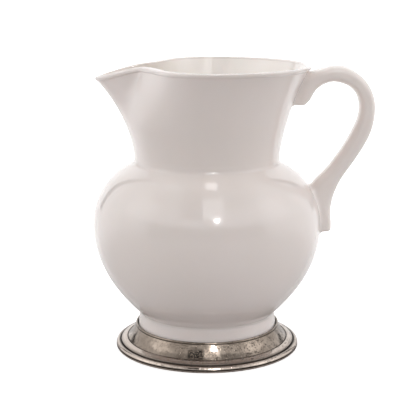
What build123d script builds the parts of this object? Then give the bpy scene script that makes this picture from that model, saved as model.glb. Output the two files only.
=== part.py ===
"""A two-litre ceramic water jug on a turned pewter foot ring.

The pot is one hollow body: a foot band, a round belly and a flared neck whose rim is pinched in at
both sides and pulled out into a pouring beak. A strap handle is luted on with clay slip at the rim
and at the belly. The pot's foot sits in a cast and turned pewter ring, on a bed of adhesive.

Millimetres, +Z up. The origin is on the table, on the axis of the pot. The beak points along -X and
the handle along +X, so the XZ plane is the plane of symmetry.
"""

import os
from math import cos, exp, hypot, pi, radians, sin

from build123d import *

# ---------------------------------------------------------------- driving dimensions

RIM_Z = 212.5  # top of the rim
WAIST_Z = 146.0  # the narrowest part of the neck
WAIST_R = 53.9
RIM_R = 76.8  # outer radius of the rim, away from the beak
NECK_ROOT_Z = 140.6  # where the neck meets the shoulder
BELLY_R = 84.9
BELLY_Z = 93.0  # height of the widest part of the belly
FOOT_TOP_Z = 27.0  # crease between the foot band and the belly
FOOT_TOP_R = 50.8
FOOT_R = 52.3  # foot band, where it goes into the pewter ring
FOOT_CHAMFER = 1.2
WALL = 4.4  # wall of the neck and belly
FLOOR_Z = 17.5  # inside floor of the pot
FLOOR_R = 36.0  # flat part of the floor
RECESS_TOP_Z = 12.6  # the pot's underside is hollowed up to here
RECESS_R = 44.5
RECESS_TAPER = 25  # degrees
CREASE_FILLET = 3.0  # where the neck meets the shoulder
RIM_ROUND = 1.2
RIM_SEAM_LENGTH = 20.0  # edges across the rim are shorter than this, edges along it longer

BEAK_REACH = 12.2  # how far the beak stands out past the round rim
BEAK_SPREAD = 9.0  # half width of the beak at the rim, in degrees
BEAK_ROOT_SPREAD = 27.0  # and where it grows out of the neck
BEAK_ROOT_Z = 150.0
BEAK_FULL_Z = 205.0
PINCH_DEPTH = 26.8  # how far the rim is pressed in beside the beak
PINCH_ROOT_Z = 168.0
PINCH_RISE = (5, 26)  # degrees from the beak over which the pinch sets in
PINCH_HOLD = 33  # it is full up to here
PINCH_FADE = 60  # and gone this many degrees further on
NECK_TOP_Z = 217.0  # the neck is made too tall and then cut to the curve of the rim

HANDLE_TOP_WIDTH = 21.0
HANDLE_TAIL_WIDTH = 17.0
HANDLE_ROUND = 4.4
HANDLE_TOP_Z = 215.0  # the two widths are measured at these heights
HANDLE_TAIL_Z = 85.0
HANDLE_REACH = 130.0  # from the pot's axis to beyond the handle
SLIP = 0.8  # thickness of the clay slip between the handle and the pot
SLIP_SQUEEZE = 1.0  # how far the slip stands out beside the handle
SLIP_CORNER = 4.0

RING_R = 69.3  # outer radius of the pewter ring
RING_TOP_Z = 17.5
RING_LIP = 0.8  # width of the ring's top edge
SHELF_Z = 7.8  # top of the shelf that the pot stands on
SHELF_R = 47.0  # bore of the shelf
SHELF_THICKNESS = 2.0
BOND = 0.6  # thickness of the adhesive
BOND_DROP = 0.9  # the adhesive stops this far below the ring's lip
BOND_INNER_R = 48.5

FOOT_BOTTOM_Z = SHELF_Z + BOND
RING_BORE_R = FOOT_R + BOND

# (radius, height) up the outside of the belly, to a point inside the root of the neck
BELLY = [
    (FOOT_TOP_R, FOOT_TOP_Z),
    (65.5, 43.0),
    (76.1, 59.0),
    (82.6, 76.0),
    (BELLY_R, BELLY_Z),
    (82.4, 110.3),
    (75.6, 123.6),
    (67.3, 132.6),
    (54.5, NECK_ROOT_Z),
    (50.0, NECK_ROOT_Z + 2.3),
]

# (x, height) along the top of the rim, which dips towards the beak
RIM_LINE = [(-42.0, RIM_Z), (-55.0, 210.8), (-69.0, 207.1), (-83.0, 203.0), (-100.0, 197.9)]

# Half of the neck's stations, in degrees from the beak: close together where the outline turns fast
STATIONS = [4, 8, 12, 16, 20, 25, 32, 41, 52, 65, 80, 97, 117, 138, 159]
NECK_ANGLES = [0, *STATIONS, 180, *[-angle for angle in reversed(STATIONS)]]
NECK_LEVELS = [130.0, WAIST_Z, 156.0, 168.0, 178.0, 188.0, 198.0, 208.0, NECK_TOP_Z]

# (x, height) round the side of the handle: down the outside, and up the inside of the loop
HANDLE_OUTSIDE = [
    (66.0, 205.2),
    (75.2, 207.6),
    (83.0, 209.7),
    (91.5, 212.0),
    (100.4, 211.3),
    (109.3, 206.8),
    (118.3, 197.5),
    (123.6, 182.5),
    (121.7, 165.8),
    (114.4, 149.5),
    (104.6, 135.3),
    (96.2, 121.3),
    (92.7, 107.0),
    (93.2, 93.0),
]
HANDLE_TAIL = [(93.2, 93.0), (92.6, 87.6), (76.0, 87.2), (70.0, 117.0)]
HANDLE_INSIDE = [
    (70.0, 117.0),
    (79.2, 126.2),
    (85.6, 132.5),
    (94.6, 143.8),
    (104.7, 159.5),
    (110.8, 173.0),
    (111.5, 184.0),
    (107.3, 193.0),
    (100.2, 198.2),
    (92.6, 199.9),
    (84.8, 197.9),
    (78.5, 192.4),
    (75.0, 186.1),
]
HANDLE_TONGUE = [(75.0, 186.1), (72.6, 182.7), (56.0, 184.6), (66.0, 205.2)]


# ---------------------------------------------------------------- shape of the pot


def inset_point(before, point, after, inset):
    """The point moved to the right of the line from before to after, square to it."""
    along = (after[0] - before[0], after[1] - before[1])
    step = inset / hypot(*along)
    return (point[0] + step * along[1], point[1] - step * along[0])


def smooth_step(low, high, x):
    """0 below low, 1 above high and a smooth rise between."""
    t = min(max((x - low) / (high - low), 0.0), 1.0)
    return t * t * (3 - 2 * t)


def neck_point(angle, z):
    """A point of the neck's outside at height z, at an angle in degrees from the beak."""
    up_neck = max(z - WAIST_Z, 0.0) / (RIM_Z - WAIST_Z)
    up_beak = max(z - BEAK_ROOT_Z, 0.0) / (BEAK_FULL_Z - BEAK_ROOT_Z)
    up_pinch = max(z - PINCH_ROOT_Z, 0.0) / (RIM_Z - PINCH_ROOT_Z)
    turn = abs(angle)

    flare = (RIM_R - WAIST_R) * (0.81 * up_neck**1.32 + 0.19 * up_neck**4.6)
    spread = BEAK_SPREAD + (BEAK_ROOT_SPREAD - BEAK_SPREAD) * max(1 - up_beak, 0.0)
    beak = BEAK_REACH * up_beak**2 * exp(-((turn / spread) ** 2))
    past_hold = min(max(turn - PINCH_HOLD, 0) / PINCH_FADE, 1)
    pressed = smooth_step(*PINCH_RISE, turn) * 0.5 * (1 + cos(pi * past_hold))
    pinch = PINCH_DEPTH * up_pinch**1.8 * pressed

    r = WAIST_R + flare + beak - pinch
    return (-r * cos(radians(angle)), r * sin(radians(angle)))


def neck_outline(z, inset):
    """Points round the neck at height z, moved in by inset square to the outline."""
    return [
        inset_point(
            neck_point(angle - 0.5, z), neck_point(angle, z), neck_point(angle + 0.5, z), inset
        )
        for angle in NECK_ANGLES
    ]


def belly_profile(inset):
    """Points up the belly, moved towards the axis by inset square to the profile."""
    ends = zip([BELLY[0], *BELLY[:-1]], BELLY, [*BELLY[1:], BELLY[-1]])
    return [inset_point(before, point, after, -inset) for before, point, after in ends]


def pot_shape(inset, bottom):
    """The solid inside the pot's skin moved in by inset; bottom is the outline below the belly."""
    profile = belly_profile(inset)
    with BuildPart() as shape:
        with BuildSketch(Plane.XZ):
            with BuildLine():
                Polyline((0, profile[-1][1]), (0, bottom[0][1]), *bottom, profile[0])
                Spline(*profile)
                Line(profile[-1], (0, profile[-1][1]))
            make_face()
        revolve(axis=Axis.Z)
        for z in NECK_LEVELS:
            with BuildSketch(Plane.XY.offset(z)):
                with BuildLine():
                    Spline(*neck_outline(z, inset), periodic=True)
                make_face()
        loft()
    return shape.part


# ---------------------------------------------------------------- the pot

foot = [
    (FOOT_R - FOOT_CHAMFER, FOOT_BOTTOM_Z),
    (FOOT_R, FOOT_BOTTOM_Z + FOOT_CHAMFER),
    (FOOT_R, RING_TOP_Z),
]
outer_skin = pot_shape(0, foot)
inner_skin = pot_shape(WALL, [(FLOOR_R, FLOOR_Z)])
slip_skin = pot_shape(-SLIP, [(FOOT_R, RING_TOP_Z)])

with BuildPart() as jug_body:
    add(outer_skin)
    add(inner_skin, mode=Mode.SUBTRACT)
    # The rim is cut to its curve, dipping towards the beak
    with BuildSketch(Plane.XZ):
        with BuildLine():
            past_beak = RIM_LINE[-1][0]
            Polyline(
                RIM_LINE[0],
                (RIM_R + 20, RIM_Z),
                (RIM_R + 20, NECK_TOP_Z + 10),
                (past_beak, NECK_TOP_Z + 10),
                RIM_LINE[-1],
            )
            Spline(*reversed(RIM_LINE), tangents=[(1, 0.3), (1, 0)])
        make_face()
    extrude(amount=RIM_R + 20, both=True, mode=Mode.SUBTRACT)
    # The underside is hollowed inside the foot
    with BuildSketch(Plane.XY.offset(FOOT_BOTTOM_Z)):
        Circle(RECESS_R)
    extrude(amount=RECESS_TOP_Z - FOOT_BOTTOM_Z, taper=RECESS_TAPER, mode=Mode.SUBTRACT)
    crease = jug_body.edges().filter_by_position(Axis.Z, NECK_ROOT_Z - 1.5, NECK_ROOT_Z + 2.5)
    fillet(crease, CREASE_FILLET)
    rim = jug_body.edges().filter_by_position(Axis.Z, RIM_LINE[-2][1] - 4, RIM_Z + 0.1)
    fillet(rim.filter_by(lambda edge: edge.length > RIM_SEAM_LENGTH), RIM_ROUND)
jug_body.part.label = "jug_body"


# ---------------------------------------------------------------- the handle

with BuildPart() as handle:
    with BuildSketch(Plane.XZ):
        with BuildLine():
            Spline(*HANDLE_OUTSIDE)
            Polyline(*HANDLE_TAIL)
            Spline(*HANDLE_INSIDE)
            Polyline(*HANDLE_TONGUE)
        make_face()
    extrude(amount=HANDLE_TOP_WIDTH, both=True)
    # Both sides taper down to the tail
    with BuildSketch(Plane.YZ):
        with BuildLine():
            Polyline(
                (HANDLE_TOP_WIDTH / 2, HANDLE_TOP_Z),
                (HANDLE_TAIL_WIDTH / 2, HANDLE_TAIL_Z),
                (-HANDLE_TAIL_WIDTH / 2, HANDLE_TAIL_Z),
                (-HANDLE_TOP_WIDTH / 2, HANDLE_TOP_Z),
                close=True,
            )
        make_face()
    extrude(amount=HANDLE_REACH, mode=Mode.INTERSECT)
    sides = handle.faces().filter_by(GeomType.PLANE).sort_by(SortBy.AREA)[-2:]
    fillet(sides.edges(), HANDLE_ROUND)
    add(slip_skin, mode=Mode.SUBTRACT)
handle.part.label = "handle"


# ---------------------------------------------------------------- clay slip under the handle


def slip_pad(width, low, high):
    """The slip between the pot and one end of the handle, from height low to height high."""
    with BuildPart() as pad:
        with BuildSketch(Plane.YZ):
            with Locations((0, (low + high) / 2)):
                RectangleRounded(width, high - low, SLIP_CORNER)
        extrude(amount=HANDLE_REACH)
        add(slip_skin, mode=Mode.INTERSECT)
        add(outer_skin, mode=Mode.SUBTRACT)
    return pad.part


upper_slip = slip_pad(HANDLE_TOP_WIDTH + 2 * SLIP_SQUEEZE, 181.8, 209.4)
upper_slip.label = "upper_handle_slip"
lower_slip = slip_pad(HANDLE_TAIL_WIDTH + 2 * SLIP_SQUEEZE, 86.4, 125.0)
lower_slip.label = "lower_handle_slip"


# ---------------------------------------------------------------- the pewter ring and its bond

with BuildPart() as pewter_foot:
    with BuildSketch(Plane.XZ):
        with BuildLine():
            # Top edge, hollow-curved skirt and scored line
            lip = Line((RING_BORE_R, RING_TOP_Z), (RING_BORE_R + RING_LIP, RING_TOP_Z))
            Spline(lip @ 1, (55.9, 12.6), (60.3, 6.9), tangents=[(0.25, -1), (1, -0.75)])
            # Ledge, falling to the deeper scored line inside the rim
            Polyline((60.3, 6.9), (60.5, 6.4), (60.9, 6.6), (65.5, 4.9), (65.7, 3.7), (66.2, 3.7))
            # Bead round the rim, another scored line, and the band that meets the table
            ThreePointArc((66.2, 3.7), (68.2, 3.6), (69.2, 2.1))
            Polyline((69.2, 2.1), (69.0, 1.9), (RING_R, 1.7), (RING_R, 0.5), (RING_R - 0.5, 0))
            # Hollow underneath, then the shelf and the bore
            Polyline(
                (RING_R - 0.5, 0),
                (63.6, 0),
                (63.2, 2.4),
                (58.4, 4.7),
                (55.6, 9.0),
                (55.3, SHELF_Z - SHELF_THICKNESS),
                (SHELF_R, SHELF_Z - SHELF_THICKNESS),
                (SHELF_R, SHELF_Z),
                (RING_BORE_R, SHELF_Z),
                (RING_BORE_R, RING_TOP_Z),
            )
        make_face()
    revolve(axis=Axis.Z)
pewter_foot.part.label = "pewter_foot"

with BuildPart() as foot_adhesive:
    with BuildSketch(Plane.XZ):
        with BuildLine():
            Polyline(
                (BOND_INNER_R, SHELF_Z),
                (RING_BORE_R, SHELF_Z),
                (RING_BORE_R, RING_TOP_Z - BOND_DROP),
                (FOOT_R, RING_TOP_Z - BOND_DROP),
                (FOOT_R, FOOT_BOTTOM_Z + FOOT_CHAMFER),
                (FOOT_R - FOOT_CHAMFER, FOOT_BOTTOM_Z),
                (BOND_INNER_R, FOOT_BOTTOM_Z),
                close=True,
            )
        make_face()
    revolve(axis=Axis.Z)
foot_adhesive.part.label = "foot_adhesive"


# ---------------------------------------------------------------- export

os.makedirs("parts", exist_ok=True)
export_step(jug_body.part, "parts/jug_body.step")
export_step(handle.part, "parts/handle.step")
export_step(upper_slip, "parts/upper_handle_slip.step")
export_step(lower_slip, "parts/lower_handle_slip.step")
export_step(pewter_foot.part, "parts/pewter_foot.step")
export_step(foot_adhesive.part, "parts/foot_adhesive.step")
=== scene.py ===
"""Looks for a white glazed jug on a turned pewter foot ring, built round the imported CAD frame.

Shapes are worked out in millimetres in the part's frame and scaled to metres as they are made.
"""

import math

import bpy
import numpy as np
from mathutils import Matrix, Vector


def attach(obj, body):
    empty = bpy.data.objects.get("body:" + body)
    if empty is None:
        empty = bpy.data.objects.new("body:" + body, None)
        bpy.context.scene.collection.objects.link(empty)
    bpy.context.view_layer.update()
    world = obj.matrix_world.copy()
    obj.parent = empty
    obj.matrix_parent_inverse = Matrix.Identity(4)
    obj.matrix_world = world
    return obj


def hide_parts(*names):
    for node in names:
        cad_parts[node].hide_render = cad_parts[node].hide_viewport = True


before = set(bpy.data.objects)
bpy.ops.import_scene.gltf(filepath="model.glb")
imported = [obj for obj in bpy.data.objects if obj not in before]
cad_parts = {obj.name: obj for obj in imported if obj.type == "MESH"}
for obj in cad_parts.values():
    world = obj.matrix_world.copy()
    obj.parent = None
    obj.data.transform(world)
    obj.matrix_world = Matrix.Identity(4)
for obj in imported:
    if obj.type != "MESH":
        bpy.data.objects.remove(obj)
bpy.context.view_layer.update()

MM = 0.001

# ------------------------------------------------------------------ the jug's measures, in mm

RIM_Z = 212.5
WAIST_Z = 146.0
WAIST_R = 53.9
RIM_R = 76.8
WALL = 4.4
FOOT_R = 52.3
BELLY = [
    (50.8, 27.0),
    (65.5, 43.0),
    (76.1, 59.0),
    (82.6, 76.0),
    (84.8, 93.0),
    (82.4, 110.3),
    (75.6, 123.6),
    (67.3, 132.6),
    (54.5, 140.6),
]
NECK_ROOT_Z = 140.95  # where the neck stands on the shoulder
ROUND_TOP_Z = WAIST_Z  # above this the neck flares and is no longer round
BEAK_START_Z = 150.0
BEAK_HEIGHT = 55.0
BEAK_REACH = 12.2
PINCH_START_Z = 168.0
PINCH_DEPTH = 26.8
RIM_DROP_X = -42.0  # from here towards the beak the rim falls
RIM_SLOPE = 0.31
RIM_EASE = 12.3  # how gently the rim starts to fall
UNDER_Z = 12.6  # underside of the pot's floor
FLOOR_Z = 17.5  # inside of the pot's floor


def natural_cubic(t, values):
    """Reader of the natural cubic curve that passes through rows of values at places t."""
    n = len(t)
    h = np.diff(t)
    a = np.eye(n)
    b = np.zeros_like(values)
    for i in range(1, n - 1):
        a[i, i - 1 : i + 2] = (h[i - 1] / 6, (h[i - 1] + h[i]) / 3, h[i] / 6)
        b[i] = (values[i + 1] - values[i]) / h[i] - (values[i] - values[i - 1]) / h[i - 1]
    m = np.linalg.solve(a, b)  # second derivatives

    def read(at):
        i = np.clip(np.searchsorted(t, at, side="right") - 1, 0, n - 2)
        u, v, w = (t[i + 1] - at)[:, None], (at - t[i])[:, None], h[i][:, None]
        return (
            m[i] * u**3 / (6 * w)
            + m[i + 1] * v**3 / (6 * w)
            + (values[i] / w - m[i] * w / 6) * u
            + (values[i + 1] / w - m[i + 1] * w / 6) * v
        )

    return read


def travelled(line):
    """Distance from the start of a line to each of its points."""
    return np.concatenate([[0], np.cumsum(np.hypot(*np.diff(line, axis=0).T))])


def spline(points, count):
    """count points along a smooth curve through points, evenly spread along its length."""
    p = np.array(points, float)
    t = travelled(p)
    read = natural_cubic(t, p)
    places = np.linspace(0, t[-1], 40 * len(p))
    length = travelled(read(places))
    return read(np.interp(np.linspace(0, length[-1], count), length, places))


def rounded(points, radii, steps=6):
    """A profile through points with each inner corner rounded; radii has one entry per corner."""
    p = [np.array(q, float) for q in points]
    out = [p[0]]
    for i in range(1, len(p) - 1):
        r = radii[i - 1]
        before, after = p[i - 1] - p[i], p[i + 1] - p[i]
        la, lb = np.linalg.norm(before), np.linalg.norm(after)
        before, after = before / la, after / lb
        bend = math.acos(np.clip(-before @ after, -1, 1))
        if r <= 0 or bend < 0.02:
            out.append(p[i])
            continue
        back = min(r * math.tan(bend / 2), 0.48 * la, 0.48 * lb)
        start, end = p[i] + before * back, p[i] + after * back
        for k in range(steps + 1):
            t = k / steps
            out.append((1 - t) ** 2 * start + 2 * t * (1 - t) * p[i] + t**2 * end)
    out.append(p[-1])
    return np.array(out)


def join_with_fillet(first, second, back, steps=8):
    """Joins two dense profiles that meet at a corner, cutting back that length on each."""

    def cut(run):
        away = np.linalg.norm(run - run[0], axis=1)
        keep = np.argmax(away > back)
        share = (back - away[keep - 1]) / (away[keep] - away[keep - 1])
        return np.vstack([run[keep - 1] + share * (run[keep] - run[keep - 1]), run[keep:]])

    corner = first[-1]
    head, tail = cut(first[::-1])[::-1], cut(second)
    t = (np.arange(1, steps) / steps)[:, None]
    arc = (1 - t) ** 2 * head[-1] + 2 * t * (1 - t) * corner + t**2 * tail[0]
    return np.vstack([head, arc, tail])


def even_line(start, end, step):
    count = max(int(math.dist(start, end) / step), 1) + 1
    return np.linspace(start, end, count)


def inset_profile(profile, inset):
    along = np.gradient(profile, axis=0)
    along /= np.linalg.norm(along, axis=1)[:, None]
    return profile + inset * np.column_stack([-along[:, 1], along[:, 0]])


# ------------------------------------------------------------------ the neck, as the CAD has it

TURNS = 720
FINE_ANGLES = np.arange(TURNS) * 360.0 / TURNS


def smooth_step(low, high, x):
    t = np.clip((x - low) / (high - low), 0, 1)
    return t * t * (3 - 2 * t)


def neck_radii(z):
    """Outer radius at every fine angle from the beak, at height z."""
    up_neck = max(z - WAIST_Z, 0.0) / (RIM_Z - WAIST_Z)
    up_beak = max(z - BEAK_START_Z, 0.0) / BEAK_HEIGHT
    up_pinch = max(z - PINCH_START_Z, 0.0) / (RIM_Z - PINCH_START_Z)
    turn = np.minimum(FINE_ANGLES, 360 - FINE_ANGLES)
    flare = (RIM_R - WAIST_R) * (0.81 * up_neck**1.32 + 0.19 * up_neck**4.6)
    spread = 9.0 + 18.0 * max(1 - up_beak, 0.0)
    beak = BEAK_REACH * up_beak**2.0 * np.exp(-((turn / spread) ** 2))
    pressed = smooth_step(5, 26, turn)
    pressed = pressed * 0.5 * (1 + np.cos(np.pi * np.clip((turn - 33) / 60, 0, 1)))
    radii = WAIST_R + flare + beak - PINCH_DEPTH * up_pinch**1.8 * pressed
    # eases the joins between the formula's pieces
    waves = np.fft.rfftfreq(TURNS, 1 / TURNS)
    return np.fft.irfft(np.fft.rfft(radii) * np.exp(-0.5 * (waves * math.radians(1.3)) ** 2), TURNS)


def outline(z, inset):
    """Points round the neck at height z, moved in by inset square to the outline."""
    a = np.radians(FINE_ANGLES)
    r = neck_radii(z)
    p = np.column_stack([-r * np.cos(a), r * np.sin(a)])
    along = np.roll(p, -1, axis=0) - np.roll(p, 1, axis=0)
    along /= np.linalg.norm(along, axis=1)[:, None]
    return p + inset * np.column_stack([along[:, 1], -along[:, 0]])


BEAD_PROUD = 0.8  # how far the bead under the rim stands out
BEAD_HEIGHT = 3.1


def rim_line(x):
    """Height of the rim at x, level as far as RIM_DROP_X and then falling to the beak."""
    past = np.maximum(RIM_DROP_X - x, 0)
    return RIM_Z - RIM_SLOPE * (np.sqrt(past**2 + RIM_EASE**2) - RIM_EASE)


LEVELS = np.linspace(ROUND_TOP_Z, RIM_Z + 3, 120)
OUTER = np.array([outline(z, 0) for z in LEVELS])
INNER = np.array([outline(z, WALL) for z in LEVELS])
BEADED = np.array([outline(z, -BEAD_PROUD) for z in LEVELS])


def rim_heights(grid):
    """Height at which each column of a grid of outlines meets the rim's curve."""
    above = LEVELS[:, None] - rim_line(grid[:, :, 0])
    first = np.argmax(above >= 0, axis=0)
    cols = np.arange(TURNS)
    low, high = above[first - 1, cols], above[first, cols]
    return LEVELS[first - 1] + (LEVELS[1] - LEVELS[0]) * (-low / (high - low))


def column(grid, index, z):
    """Points (x, y) of one column of a grid of outlines, at heights z."""
    return np.column_stack(
        [np.interp(z, LEVELS, grid[:, index, 0]), np.interp(z, LEVELS, grid[:, index, 1])]
    )


# ------------------------------------------------------------------ mesh helpers


def make_piece(name, verts, faces, material, nodes):
    mesh = bpy.data.meshes.new(name)
    mesh.from_pydata((np.asarray(verts) * MM).tolist(), [], faces)
    mesh.validate()
    mesh.shade_smooth()
    piece = bpy.data.objects.new(name, mesh)
    bpy.context.scene.collection.objects.link(piece)
    mesh.materials.append(material)
    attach(piece, "root")
    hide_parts(*nodes)
    return piece


def grid_faces(rows, cols, start=0, close_rows=False):
    """Quads of a grid that closes round its columns, and round its rows too if asked."""
    faces = []
    for i in range(rows if close_rows else rows - 1):
        a = start + i * cols
        b = start + ((i + 1) % rows) * cols
        for j in range(cols):
            k = (j + 1) % cols
            faces.append((a + j, a + k, b + k, b + j))
    return faces


def ring(profile_point, angles):
    r, z = profile_point
    return np.column_stack([-r * np.cos(angles), r * np.sin(angles), np.full(len(angles), z)])


# ------------------------------------------------------------------ materials


class Nodes:
    """Small helper for building a shader."""

    def __init__(self, name):
        self.material = bpy.data.materials.new(name)
        self.material.use_nodes = True
        self.tree = self.material.node_tree
        self.shader = self.tree.nodes["Principled BSDF"]

    def add(self, kind, inputs=None, **settings):
        node = self.tree.nodes.new(kind)
        for key, value in settings.items():
            setattr(node, key, value)
        for key, value in (inputs or {}).items():
            if isinstance(value, bpy.types.NodeSocket):
                self.tree.links.new(value, node.inputs[key])
            else:
                node.inputs[key].default_value = value
        return node

    def set(self, key, value):
        if isinstance(value, bpy.types.NodeSocket):
            self.tree.links.new(value, self.shader.inputs[key])
        else:
            self.shader.inputs[key].default_value = value

    def math(self, operation, a, b=0.0):
        return self.add("ShaderNodeMath", {0: a, 1: b}, operation=operation).outputs[0]

    def noise(self, vector, scale, detail=3.0, rough=0.5):
        inputs = {"Vector": vector, "Scale": scale, "Detail": detail, "Roughness": rough}
        return self.add("ShaderNodeTexNoise", inputs).outputs["Fac"]

    def ramp(self, value, low, high, to_low=0.0, to_high=1.0):
        inputs = {0: value, 1: low, 2: high, 3: to_low, 4: to_high}
        return self.add(
            "ShaderNodeMapRange", inputs, interpolation_type="SMOOTHSTEP"
        ).outputs[0]

    def mix(self, share, a, b):
        node = self.add("ShaderNodeMix", data_type="RGBA")
        for socket, value in ((node.inputs[0], share), (node.inputs[6], a), (node.inputs[7], b)):
            if isinstance(value, bpy.types.NodeSocket):
                self.tree.links.new(value, socket)
            else:
                socket.default_value = value
        return node.outputs[2]

    def bump(self, height, distance, strength=1.0, normal=None):
        inputs = {"Height": height, "Distance": distance, "Strength": strength}
        if normal is not None:
            inputs["Normal"] = normal
        return self.add("ShaderNodeBump", inputs).outputs[0]


def glaze_material(name, pale, paler):
    """White glaze that clouds between two tones."""
    n = Nodes(name)
    place = n.add("ShaderNodeTexCoord").outputs["Object"]
    cloud = n.noise(place, 9.0, 3.0)
    fine = n.noise(place, 60.0, 4.0)
    tone = n.mix(n.ramp(cloud, 0.35, 0.65), pale, paler)
    tone = n.mix(n.ramp(fine, 0.62, 0.8, 0.0, 0.25), tone, (0.78, 0.71, 0.65, 1))
    # painted light: the inside of the jug gets a lighter tone, standing in for the light that falls
    # into it
    inside = n.add("ShaderNodeAttribute", attribute_name="inside").outputs["Fac"]
    tone = n.mix(inside, tone, (0.94, 0.885, 0.84, 1))
    # a few pinholes and iron specks in the glaze
    specks = n.add("ShaderNodeTexVoronoi", {"Vector": place, "Scale": 150.0}).outputs["Distance"]
    rare = n.ramp(n.noise(place, 34.0, 1.0), 0.70, 0.74)
    spot = n.math("MULTIPLY", n.ramp(specks, 0.10, 0.04), rare)
    tone = n.mix(n.math("MULTIPLY", spot, 0.5), tone, (0.42, 0.33, 0.26, 1))
    n.set("Base Color", tone)
    n.set("Roughness", n.ramp(fine, 0.3, 0.7, 0.30, 0.42))
    n.set("Specular IOR Level", 0.15)
    n.set("Subsurface Weight", 0.12)
    n.set("Subsurface Radius", (1.0, 0.75, 0.6))
    n.set("Subsurface Scale", 0.003)
    n.set("Coat Weight", 1.0)
    n.set("Coat Roughness", 0.035)
    n.set("Coat IOR", 1.5)
    # the glaze lies in very shallow waves, with a faint orange peel
    wave = n.bump(n.noise(place, 16.0, 2.0), 0.0006, 0.02)
    peel = n.bump(n.noise(place, 420.0, 2.0), 0.00002, 0.08, wave)
    pits = n.bump(spot, -0.00006, 1.0, peel)
    n.set("Normal", pits)
    n.set("Coat Normal", pits)
    return n.material


def pewter_material():
    n = Nodes("pewter")
    place = n.add("ShaderNodeTexCoord").outputs["Object"]
    split = n.add("ShaderNodeSeparateXYZ", {0: place})
    x, y, z = split.outputs
    around = n.math("ARCTAN2", y, x)
    radius = n.math("SQRT", n.math("ADD", n.math("MULTIPLY", x, x), n.math("MULTIPLY", y, y)))
    # turned marks run round the ring
    lathe = n.add("ShaderNodeCombineXYZ", {0: n.math("MULTIPLY", around, 0.02), 1: radius, 2: z})
    marks = n.noise(lathe.outputs[0], 1500.0, 4.0, 0.6)
    broad = n.noise(place, 45.0, 5.0, 0.6)
    mottle = n.noise(place, 240.0, 4.0, 0.65)
    grit = n.noise(place, 900.0, 3.0, 0.6)
    grime = n.add("ShaderNodeAttribute", attribute_name="grime").outputs["Fac"]
    # pits gather on the front right of the ring
    spread = n.ramp(n.math("SUBTRACT", x, y), -0.01, 0.07, 0.25, 1.0)
    pits = n.math("MULTIPLY", n.ramp(grit, 0.53, 0.60), n.ramp(mottle, 0.42, 0.54))
    pits = n.math("MULTIPLY", pits, spread)
    dark = n.math("MAXIMUM", grime, n.math("MULTIPLY", pits, 0.75))
    tone_and_sheen = n.mix(n.ramp(broad, 0.35, 0.65), (0.235, 0.192, 0.158, 1), (0.325, 0.272, 0.228, 1))
    tone_and_sheen = n.mix(n.ramp(mottle, 0.40, 0.62, 0.0, 0.35), tone_and_sheen, (0.17, 0.132, 0.105, 1))
    # painted reflection: the steps outside the skirt are painted brighter, standing in for the
    # light they reflect
    tone_and_sheen = n.mix(n.ramp(radius, 0.0606, 0.0612, 0.0, 0.75), tone_and_sheen, (0.62, 0.535, 0.475, 1))
    n.set("Base Color", n.mix(dark, tone_and_sheen, (0.03, 0.022, 0.016, 1)))
    n.set("Metallic", 1.0)
    rough = n.math("ADD", n.ramp(mottle, 0.3, 0.7, 0.06, 0.12), n.math("MULTIPLY", dark, 0.35))
    n.set("Roughness", rough)
    turned = n.bump(marks, 0.00006, 0.35)
    cast = n.bump(n.noise(place, 110.0, 3.0), 0.0003, 0.08, turned)
    n.set("Normal", n.bump(pits, -0.00012, 0.8, cast))
    return n.material


def adhesive_material():
    n = Nodes("adhesive")
    place = n.add("ShaderNodeTexCoord").outputs["Object"]
    lump = n.noise(place, 500.0, 4.0)
    n.set("Base Color", n.mix(lump, (0.012, 0.010, 0.008, 1), (0.07, 0.055, 0.045, 1)))
    n.set("Roughness", n.ramp(lump, 0.3, 0.7, 0.55, 0.9))
    n.set("Normal", n.bump(lump, 0.0003, 0.6))
    return n.material


glaze = glaze_material("white_glaze", (0.80, 0.728, 0.69, 1), (0.82, 0.745, 0.715, 1))
handle_glaze = glaze_material("handle_glaze", (0.86, 0.785, 0.745, 1), (0.88, 0.805, 0.77, 1))
pewter = pewter_material()
adhesive = adhesive_material()

# ------------------------------------------------------------------ the pot

belly = spline(BELLY, 150)
under = rounded(
    [(6, UNDER_Z), (42.5, UNDER_Z), (44.5, 8.4), (51.1, 8.4), (FOOT_R, 9.6)], [1.0, 0.6, 0.3], 5
)
foot = even_line((FOOT_R, 9.6), (50.8, 27.0), 1.0)
foot[:, 0] = FOOT_R - 1.5 * smooth_step(16.0, 27.5, foot[:, 1])
foot[-1] = BELLY[0]
lower = join_with_fillet(foot, belly, 1.3)
neck_root = np.array([WAIST_R, NECK_ROOT_Z])
keep = ~((lower[:, 1] > 130) & (lower[:, 0] < WAIST_R + 0.6))
upper_line = even_line(neck_root, (WAIST_R, ROUND_TOP_Z), 0.7)
outside = join_with_fillet(np.vstack([lower[keep], neck_root]), upper_line, 2.2)
outside = np.vstack([under[:-1], outside])

inner_belly = inset_profile(belly, WALL)
inner_belly = inner_belly[(inner_belly[:, 1] > 33) & (inner_belly[:, 0] > WAIST_R - WALL + 0.4)]
inner_root = np.array([WAIST_R - WALL, inner_belly[-1][1] + 0.3])
inside_line = even_line(inner_root, (WAIST_R - WALL, ROUND_TOP_Z), 0.7)
inside = join_with_fillet(np.vstack([inner_belly, inner_root]), inside_line, 2.0)
bowl = spline([(6, FLOOR_Z), (30, 17.6), (42, 20.5), (51.5, 28.0), tuple(inside[0])], 40)
inside = np.vstack([bowl[:-1], inside])

columns = np.unique(
    np.concatenate([np.arange(0, 90, 2), np.arange(90, 631, 5), np.arange(632, 720, 2)])
)
angles = np.radians(FINE_ANGLES[columns])
outer_top, inner_top = rim_heights(OUTER), rim_heights(INNER)

LIP = 1.9  # height of the rounded top of the lip
LIP_STEPS = 12
NECK_STEPS = 38
BEAD_STEPS = 9


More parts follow.
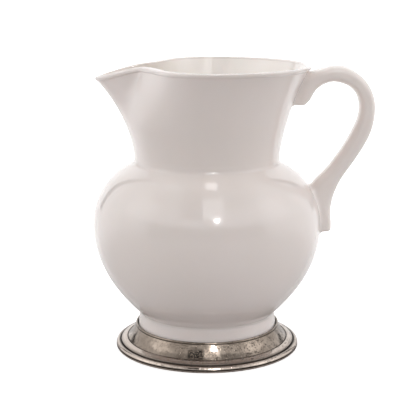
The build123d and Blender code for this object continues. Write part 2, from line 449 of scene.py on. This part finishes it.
def neck_heights(top):
    """Heights of the rows up the neck: even at first, then close together round the bead."""
    bead_foot = top + LIP - BEAD_HEIGHT - 0.7
    wide = np.linspace(ROUND_TOP_Z, bead_foot, NECK_STEPS + 1)[1:]
    close = np.linspace(bead_foot, top, BEAD_STEPS + 1)[1:]
    return np.concatenate([wide, close])


rows = [ring(p, angles) for p in outside]
wall_out, wall_in, lip = [], [], []
for index in columns:
    z_out = neck_heights(outer_top[index] - LIP)
    z_in = neck_heights(inner_top[index] - LIP)
    below = outer_top[index] - z_out
    bead = (1 - smooth_step(BEAD_HEIGHT - 0.5, BEAD_HEIGHT + 0.5, below))[:, None]
    out_xy = column(OUTER, index, z_out) * (1 - bead) + column(BEADED, index, z_out) * bead
    in_xy = column(INNER, index, z_in)
    wall_out.append(np.column_stack([out_xy, z_out]))
    wall_in.append(np.column_stack([in_xy, z_in]))
    crest = 0.5 * (
        np.array([*column(OUTER, index, [outer_top[index]])[0], outer_top[index]])
        + np.array([*column(INNER, index, [inner_top[index]])[0], inner_top[index]])
    )
    middle = 0.5 * (wall_out[-1][-1] + wall_in[-1][-1])
    half = 0.5 * (wall_out[-1][-1] - wall_in[-1][-1])
    turn = np.pi * np.arange(1, LIP_STEPS) / LIP_STEPS
    across = np.sign(np.cos(turn)) * np.abs(np.cos(turn)) ** 0.85
    upward = np.sin(turn) ** 0.85
    lip.append(middle + across[:, None] * half + upward[:, None] * (crest - middle))
wall_out, wall_in, lip = (np.array(part).transpose(1, 0, 2) for part in (wall_out, wall_in, lip))
rows += [*wall_out, *lip, *wall_in[::-1]]
rows += [ring(p, angles) for p in inside[::-1]]

verts = np.vstack(rows)
count = len(columns)
faces = grid_faces(len(rows), count)
faces = [f[::-1] for f in faces]
last = (len(rows) - 1) * count
verts = np.vstack([verts, [[0, 0, UNDER_Z], [0, 0, FLOOR_Z]]])
under_centre, floor_centre = len(verts) - 2, len(verts) - 1
faces += [(under_centre, j, (j + 1) % count) for j in range(count)]
faces += [(floor_centre, last + (j + 1) % count, last + j) for j in range(count)]
pot = make_piece("glazed_pot", verts, faces, glaze, ["jug_body"])
# painted light: the inside is painted a lighter tone, standing in for the light that falls into the
# jug
painted_light_inside = np.zeros(len(rows))
painted_light_inside[len(rows) - len(inside) - len(wall_in) :] = 1
painted_light_inside = np.concatenate([np.repeat(painted_light_inside, count), [0, 1]])
layer = pot.data.attributes.new("inside", "FLOAT", "POINT")
layer.data.foreach_set("value", painted_light_inside)
smooth = pot.modifiers.new("smooth", "SUBSURF")
smooth.levels, smooth.render_levels = 1, 1

# ------------------------------------------------------------------ the handle and its slip

# pairs of (x, z) on the outside and inside of the strap, from the upper end to the tail
STRAP = [
    ((60.8, 186.2), (73.2, 184.2)),
    ((62.6, 190.0), (75.6, 186.8)),
    ((65.6, 197.0), (77.8, 190.9)),
    ((69.4, 204.0), (81.0, 195.0)),
    ((76.0, 207.6), (84.8, 197.9)),
    ((83.6, 209.9), (88.6, 199.4)),
    ((92.4, 212.0), (93.2, 200.0)),
    ((101.2, 211.0), (99.8, 198.6)),
    ((109.8, 206.4), (105.3, 195.6)),
    ((117.6, 198.8), (109.5, 190.6)),
    ((122.6, 188.0), (111.6, 183.2)),
    ((123.5, 176.6), (111.1, 174.4)),
    ((121.4, 165.0), (108.5, 167.4)),
    ((116.5, 153.8), (104.0, 158.4)),
    ((105.4, 136.4), (94.6, 143.6)),
    ((98.6, 125.8), (86.0, 132.9)),
    ((94.5, 115.6), (78.6, 125.2)),
    ((92.7, 107.0), (76.2, 116.4)),
    ((92.7, 100.0), (80.2, 106.0)),
    ((93.1, 94.2), (81.6, 97.0)),
    ((93.1, 90.4), (81.8, 91.0)),
]
SECTIONS = 190
AROUND = 56
FILLET = 3.4


def strap_width(z):
    return 8.6 + 1.9 * np.clip((z - 87) / 125, 0, 1)


def pot_radius_and_slope(z):
    """Radius of the pot's outside at the handle's side, and the slope of its profile there."""
    heights = np.concatenate([outside[len(under) - 1 :, 1], LEVELS[1:]])
    radii = np.concatenate([outside[len(under) - 1 :, 0], OUTER[1:, TURNS // 2, 0]])
    order = np.argsort(heights)
    heights, radii = heights[order], radii[order]
    r = np.interp(z, heights, radii)
    slope = np.interp(z + 0.5, heights, radii) - np.interp(z - 0.5, heights, radii)
    return r, slope


pairs = np.array(STRAP, float)
span = travelled(pairs.mean(axis=1))
lines = natural_cubic(span / span[-1], pairs.reshape(-1, 4))(np.linspace(0, 1, SECTIONS))
outer_line, inner_line = lines[:, :2], lines[:, 2:]
centre = (outer_line + inner_line) / 2
half = (outer_line - inner_line) / 2
travel = np.gradient(centre, axis=0)
travel /= np.linalg.norm(travel, axis=1)[:, None]


def section(mid, reach, width):
    """One rounded cross-section: mid and reach are (x, z), width is half the strap's width."""
    t = 2 * np.pi * np.arange(AROUND) / AROUND
    c, s = np.cos(t), np.sin(t)
    power = 2 / 2.7
    c, s = np.sign(c) * np.abs(c) ** power, np.sign(s) * np.abs(s) ** power
    return np.column_stack([mid[0] + c * reach[0], width * s, mid[1] + c * reach[1]])


CAP_STEPS = 7


def cap(mid, reach, width, direction, depth):
    """Shrinking sections that round off an end of the strap."""
    rings = []
    for k in range(1, CAP_STEPS + 1):
        turn = 0.5 * np.pi * k / CAP_STEPS * 0.96
        shrink = np.cos(turn) ** 0.7
        place = mid + direction * depth * np.sin(turn)
        rings.append(section(place, reach * shrink, width * shrink))
    return rings


rings = [section(centre[i], half[i], strap_width(centre[i][1])) for i in range(SECTIONS)]
first = cap(centre[0], half[0], strap_width(centre[0][1]), -travel[0], 2.6)
final = cap(centre[-1], half[-1], strap_width(centre[-1][1]), travel[-1], 2.8)
rings = first[::-1] + rings + final
verts = np.vstack(rings)
faces = [face[::-1] for face in grid_faces(len(rings), AROUND)]
verts = np.vstack([verts, rings[0].mean(axis=0), rings[-1].mean(axis=0)])
low_hub, high_hub = len(verts) - 2, len(verts) - 1
last = (len(rings) - 1) * AROUND
faces += [(low_hub, j, (j + 1) % AROUND) for j in range(AROUND)]
faces += [(high_hub, last + (j + 1) % AROUND, last + j) for j in range(AROUND)]

handle = make_piece(
    "handle_and_slip",
    verts,
    faces,
    handle_glaze,
    ["handle", "upper_handle_slip", "lower_handle_slip"],
)
# where the strap comes down on the pot it flares out in a fillet of slip
mesh = handle.data
normals = np.array([v.normal for v in mesh.vertices])
points = np.array(verts)
radius = np.hypot(points[:, 0], points[:, 1])
pot_r, slope = pot_radius_and_slope(points[:, 2])
gap = (radius - pot_r) / np.sqrt(1 + slope**2)
pot_normal = np.column_stack([points[:, 0] / radius, points[:, 1] / radius, -slope])
pot_normal /= np.linalg.norm(pot_normal, axis=1)[:, None]
sideways = normals - (normals * pot_normal).sum(axis=1)[:, None] * pot_normal
inside_gap = np.clip(gap, 0, FILLET)
push = FILLET - np.sqrt(np.maximum(FILLET**2 - (FILLET - inside_gap) ** 2, 0))
points += sideways * push[:, None]
mesh.vertices.foreach_set("co", (points * MM).ravel())
mesh.update()
smooth = handle.modifiers.new("smooth", "SUBSURF")
smooth.levels, smooth.render_levels = 1, 1

# ------------------------------------------------------------------ the pewter ring

skirt = spline([(54.2, 16.1), (55.8, 12.8), (57.9, 9.4), (60.2, 7.0)], 30)
# (radius, height, rounding of the corner), round the section from the ring's lip
ring_section = [
    (52.9, 17.0, 0.0),
    (53.1, 17.5, 0.2),
    (53.9, 17.5, 0.3),
    (54.25, 17.0, 0.4),
    (54.3, 16.4, 0.2),
    (54.1, 16.25, 0.1),
    *[(r, z, 0.0) for r, z in skirt[:-1]],
    # first scored line and the ledge
    (60.2, 7.0, 0.25),
    (60.4, 6.35, 0.15),
    (60.8, 6.35, 0.15),
    (61.0, 6.8, 0.3),
    (63.4, 6.05, 0.0),
    (65.4, 5.15, 0.3),
    # groove and bead
    (65.6, 3.6, 0.2),
    (66.1, 3.5, 0.2),
    (66.3, 4.35, 0.3),
    (67.6, 4.2, 0.6),
    (68.6, 3.5, 0.8),
    (69.15, 2.5, 0.6),
    # second scored line and the resting band
    (69.1, 2.0, 0.3),
    (68.75, 1.85, 0.1),
    (68.75, 1.65, 0.1),
    (69.2, 1.5, 0.3),
    (69.25, 0.5, 0.5),
    (68.8, 0.0, 0.5),
    (63.6, 0.0, 0.6),
    # underside and the shelf that the pot stands on
    (63.2, 2.4, 1.0),
    (58.4, 4.7, 1.0),
    (55.6, 9.0, 1.0),
    (55.3, 5.8, 0.8),
    (47.0, 5.8, 0.5),
    (47.0, 7.8, 0.5),
    (52.9, 7.8, 0.3),
]
corners = [(r, z) for r, z, _ in ring_section]
profile = rounded(corners + corners[:1], [rounding for _, _, rounding in ring_section[1:]], 4)[:-1]
RING_TURNS = 384
ring_angles = 2 * np.pi * np.arange(RING_TURNS) / RING_TURNS
verts = np.vstack([ring(p, ring_angles) for p in profile])
faces = grid_faces(len(profile), RING_TURNS, close_rows=True)
pewter_ring = make_piece("pewter_ring", verts, faces, pewter, ["pewter_foot"])


def grime_at(r, z):
    """Dark patina lies in the scored lines and under the lip of the pot."""
    lines = [(54.1, 16.2, 0.3), (60.6, 6.5, 0.4), (65.75, 3.9, 1.25), (68.85, 1.75, 0.6)]
    total = np.zeros(len(r))
    for line_r, line_z, size in lines:
        total += 1.6 * np.exp(-(((r - line_r) ** 2 + (z - line_z) ** 2) / size**2))
    total += 0.8 * np.exp(-(((r - 52.8) / 0.5) ** 2)) * (z > 12)
    return np.clip(total, 0, 1)


layer = pewter_ring.data.attributes.new("grime", "FLOAT", "POINT")
layer.data.foreach_set("value", grime_at(np.hypot(verts[:, 0], verts[:, 1]), verts[:, 2]))

# ------------------------------------------------------------------ the adhesive in the seam

bond = rounded(
    [
        (48.5, 7.8),
        (52.9, 7.8),
        (52.9, 16.6),
        (52.6, 16.3),
        (52.3, 16.6),
        (52.3, 9.6),
        (51.1, 8.4),
        (48.5, 8.4),
    ],
    [0.1, 0.1, 0.2, 0.1, 0.2, 0.2],
    3,
)
verts = np.vstack([ring(p, ring_angles) for p in bond])
faces = grid_faces(len(bond), RING_TURNS, close_rows=True)
make_piece("seam_bond", verts, faces, adhesive, ["foot_adhesive"])

# ------------------------------------------------------------------ floor, light and camera

bpy.ops.mesh.primitive_plane_add(size=12, location=(0, 0, -0.00005))
floor = bpy.context.object
floor.name = "floor"
n = Nodes("pale_floor")
n.set("Base Color", (0.62, 0.61, 0.61, 1))
n.set("Roughness", 0.6)
n.set("Specular IOR Level", 0.2)
n.set("Emission Color", (1, 1, 1, 1))
seen = n.add("ShaderNodeLightPath").outputs["Is Camera Ray"]
place = n.add("ShaderNodeTexCoord").outputs["Object"]
behind = n.add("ShaderNodeSeparateXYZ", {0: place}).outputs[1]
# the sheet is lit more strongly behind the jug
glow = n.ramp(behind, -0.01, 0.25, 0.0, 0.5)
n.set("Emission Strength", n.math("ADD", glow, n.math("MULTIPLY", seen, 0.65)))
floor.data.materials.append(n.material)

scene = bpy.context.scene
scene.view_settings.view_transform = "Standard"
scene.view_settings.look = "None"

world = bpy.data.worlds.new("studio")
scene.world = world
world.use_nodes = True
tree = world.node_tree
background = tree.nodes["Background"]


def world_node(kind, inputs=None, **settings):
    node = tree.nodes.new(kind)
    for key, value in settings.items():
        setattr(node, key, value)
    for key, value in (inputs or {}).items():
        if isinstance(value, bpy.types.NodeSocket):
            tree.links.new(value, node.inputs[key])
        else:
            node.inputs[key].default_value = value
    return node


def world_math(operation, a, b=0.0):
    return world_node("ShaderNodeMath", {0: a, 1: b}, operation=operation).outputs[0]


def world_ramp(value, low, high, to_low, to_high):
    inputs = {0: value, 1: low, 2: high, 3: to_low, 4: to_high}
    return world_node("ShaderNodeMapRange", inputs, interpolation_type="SMOOTHSTEP").outputs[0]


direction = world_node("ShaderNodeTexCoord").outputs["Generated"]
dx, dy, dz = world_node("ShaderNodeSeparateXYZ", {0: direction}).outputs
azimuth = world_math("ARCTAN2", dx, world_math("MULTIPLY", dy, -1.0))  # 0 towards the camera
azimuth = world_math("DEGREES", azimuth)
elevation = world_math("DEGREES", world_math("ARCSINE", dz))
side = world_math("ABSOLUTE", azimuth)


def world_band(value, start, full, fade, end):
    """1 between full and fade, 0 outside start and end."""
    rise = world_ramp(value, start, full, 0.0, 1.0)
    return world_math("MULTIPLY", rise, world_ramp(value, fade, end, 1.0, 0.0))


def world_dim(level, share, amount):
    """level, taken down by amount where share is 1."""
    kept = world_math("SUBTRACT", 1.0, world_math("MULTIPLY", share, amount))
    return world_math("MULTIPLY", level, kept)


# angle of a strip that runs over the jug from front to back, 0 overhead, + to the right
overhead = world_math("DIVIDE", dx, world_math("SUBTRACT", 1.0, dy))
overhead = world_math("DEGREES", world_math("ARCTANGENT", overhead))

ROOM_LEVEL = 1.17
BACKDROP_LEVEL = 1.2
WINDOW_LEVEL = 1.6  # how much the window and the side boxes add to the room
SIDE_BOX_LEVEL = 0.75

# a white room, a little brighter behind the jug, with thin dark edges to the backdrop
level = world_ramp(side, 143.0, 146.0, ROOM_LEVEL, BACKDROP_LEVEL)
level = world_dim(level, world_band(side, 135.0, 137.5, 143.0, 145.0), 0.9)
# the ceiling, dimmer to the right
ceiling = world_ramp(elevation, 40.0, 58.0, 0.0, 1.0)
near_side = world_ramp(side, 70.0, 105.0, 1.0, 0.0)
level = world_dim(level, world_math("MULTIPLY", ceiling, near_side), 0.42)
right_part = world_band(overhead, 8.0, 12.0, 16.0, 34.0)
level = world_dim(level, world_math("MULTIPLY", ceiling, right_part), 0.36)
# the dark lower part of the room on the camera's side
low = world_ramp(elevation, 14.0, 24.0, 1.0, 0.0)
low = world_math("MULTIPLY", low, world_ramp(side, 56.0, 66.0, 1.0, 0.0))
level = world_dim(level, low, 0.95)
# the dark gap overhead, and the bright window right of it
gap = world_band(overhead, -14.6, -12.8, -2.8, -2.0)
gap = world_math("MULTIPLY", gap, world_ramp(elevation, 30.0, 38.0, 0.0, 1.0))
level = world_dim(level, gap, 0.96)
window_across = world_band(overhead, -2.4, -1.8, 8.6, 9.6)
window = world_math("MULTIPLY", window_across, world_band(elevation, 33.0, 37.0, 62.0, 74.0))
level = world_math("ADD", level, world_math("MULTIPLY", window, WINDOW_LEVEL))
# side boxes
box_across = world_band(side, 58.0, 70.0, 92.0, 104.0)
box = world_math("MULTIPLY", box_across, world_band(elevation, 12.0, 22.0, 42.0, 52.0))
level = world_math("ADD", level, world_math("MULTIPLY", box, SIDE_BOX_LEVEL))
camera_ray = world_node("ShaderNodeLightPath").outputs["Is Camera Ray"]
strength = world_math("MAXIMUM", level, world_math("MULTIPLY", camera_ray, BACKDROP_LEVEL))
tree.links.new(strength, background.inputs["Strength"])
background.inputs["Color"].default_value = (1, 1, 1, 1)


def gloss_light(name, azimuth_deg, elevation_deg, distance, width, height, radiance, shape):
    """An area light aimed at the jug's belly; radiance is what a mirror would see of it."""
    a, e = math.radians(azimuth_deg), math.radians(elevation_deg)
    target = Vector((0, 0, 0.11))
    offset = Vector((math.sin(a) * math.cos(e), -math.cos(a) * math.cos(e), math.sin(e)))
    data = bpy.data.lights.new(name, "AREA")
    data.shape = shape
    data.size, data.size_y = width, height
    area = width * height * (math.pi / 4 if shape == "ELLIPSE" else 1.0)
    data.energy = radiance * math.pi * area
    lamp = bpy.data.objects.new(name, data)
    scene.collection.objects.link(lamp)
    lamp.location = target + offset * distance
    lamp.rotation_mode = "QUATERNION"
    lamp.rotation_quaternion = offset.to_track_quat("Z", "Y")
    lamp.visible_camera = False
    lamp.visible_diffuse = False  # the room lights the jug; these only shine in its gloss
    return lamp


BULB_AT = (10.9, 31.2)  # azimuth and elevation
gloss_light("bulb", *BULB_AT, 3.0, 0.26, 0.4, 34, "ELLIPSE")
gloss_light("bulb_glow", *BULB_AT, 3.1, 0.6, 0.95, 3.6, "ELLIPSE")
# a small card over the shoulder, facing down, for the square glint under the neck
card = gloss_light("shoulder_card", 0, 90, 1.0, 0.0095, 0.0078, 2.8, "RECTANGLE")
card.location = (0.0037, -0.0635, 0.1455)

PITCH = math.radians(12.19)
DISTANCE = 0.8474
AIM = Vector((0.00075, 0, 0.10525))
camera_data = bpy.data.cameras.new("camera")
camera = bpy.data.objects.new("camera", camera_data)
scene.collection.objects.link(camera)
camera.location = AIM + DISTANCE * Vector((0, -math.cos(PITCH), math.sin(PITCH)))
camera.rotation_euler = (math.pi / 2 - PITCH, 0, 0)
camera_data.sensor_width = 36
camera_data.lens = 97.7772
camera_data.clip_start, camera_data.clip_end = 0.05, 50
scene.camera = camera
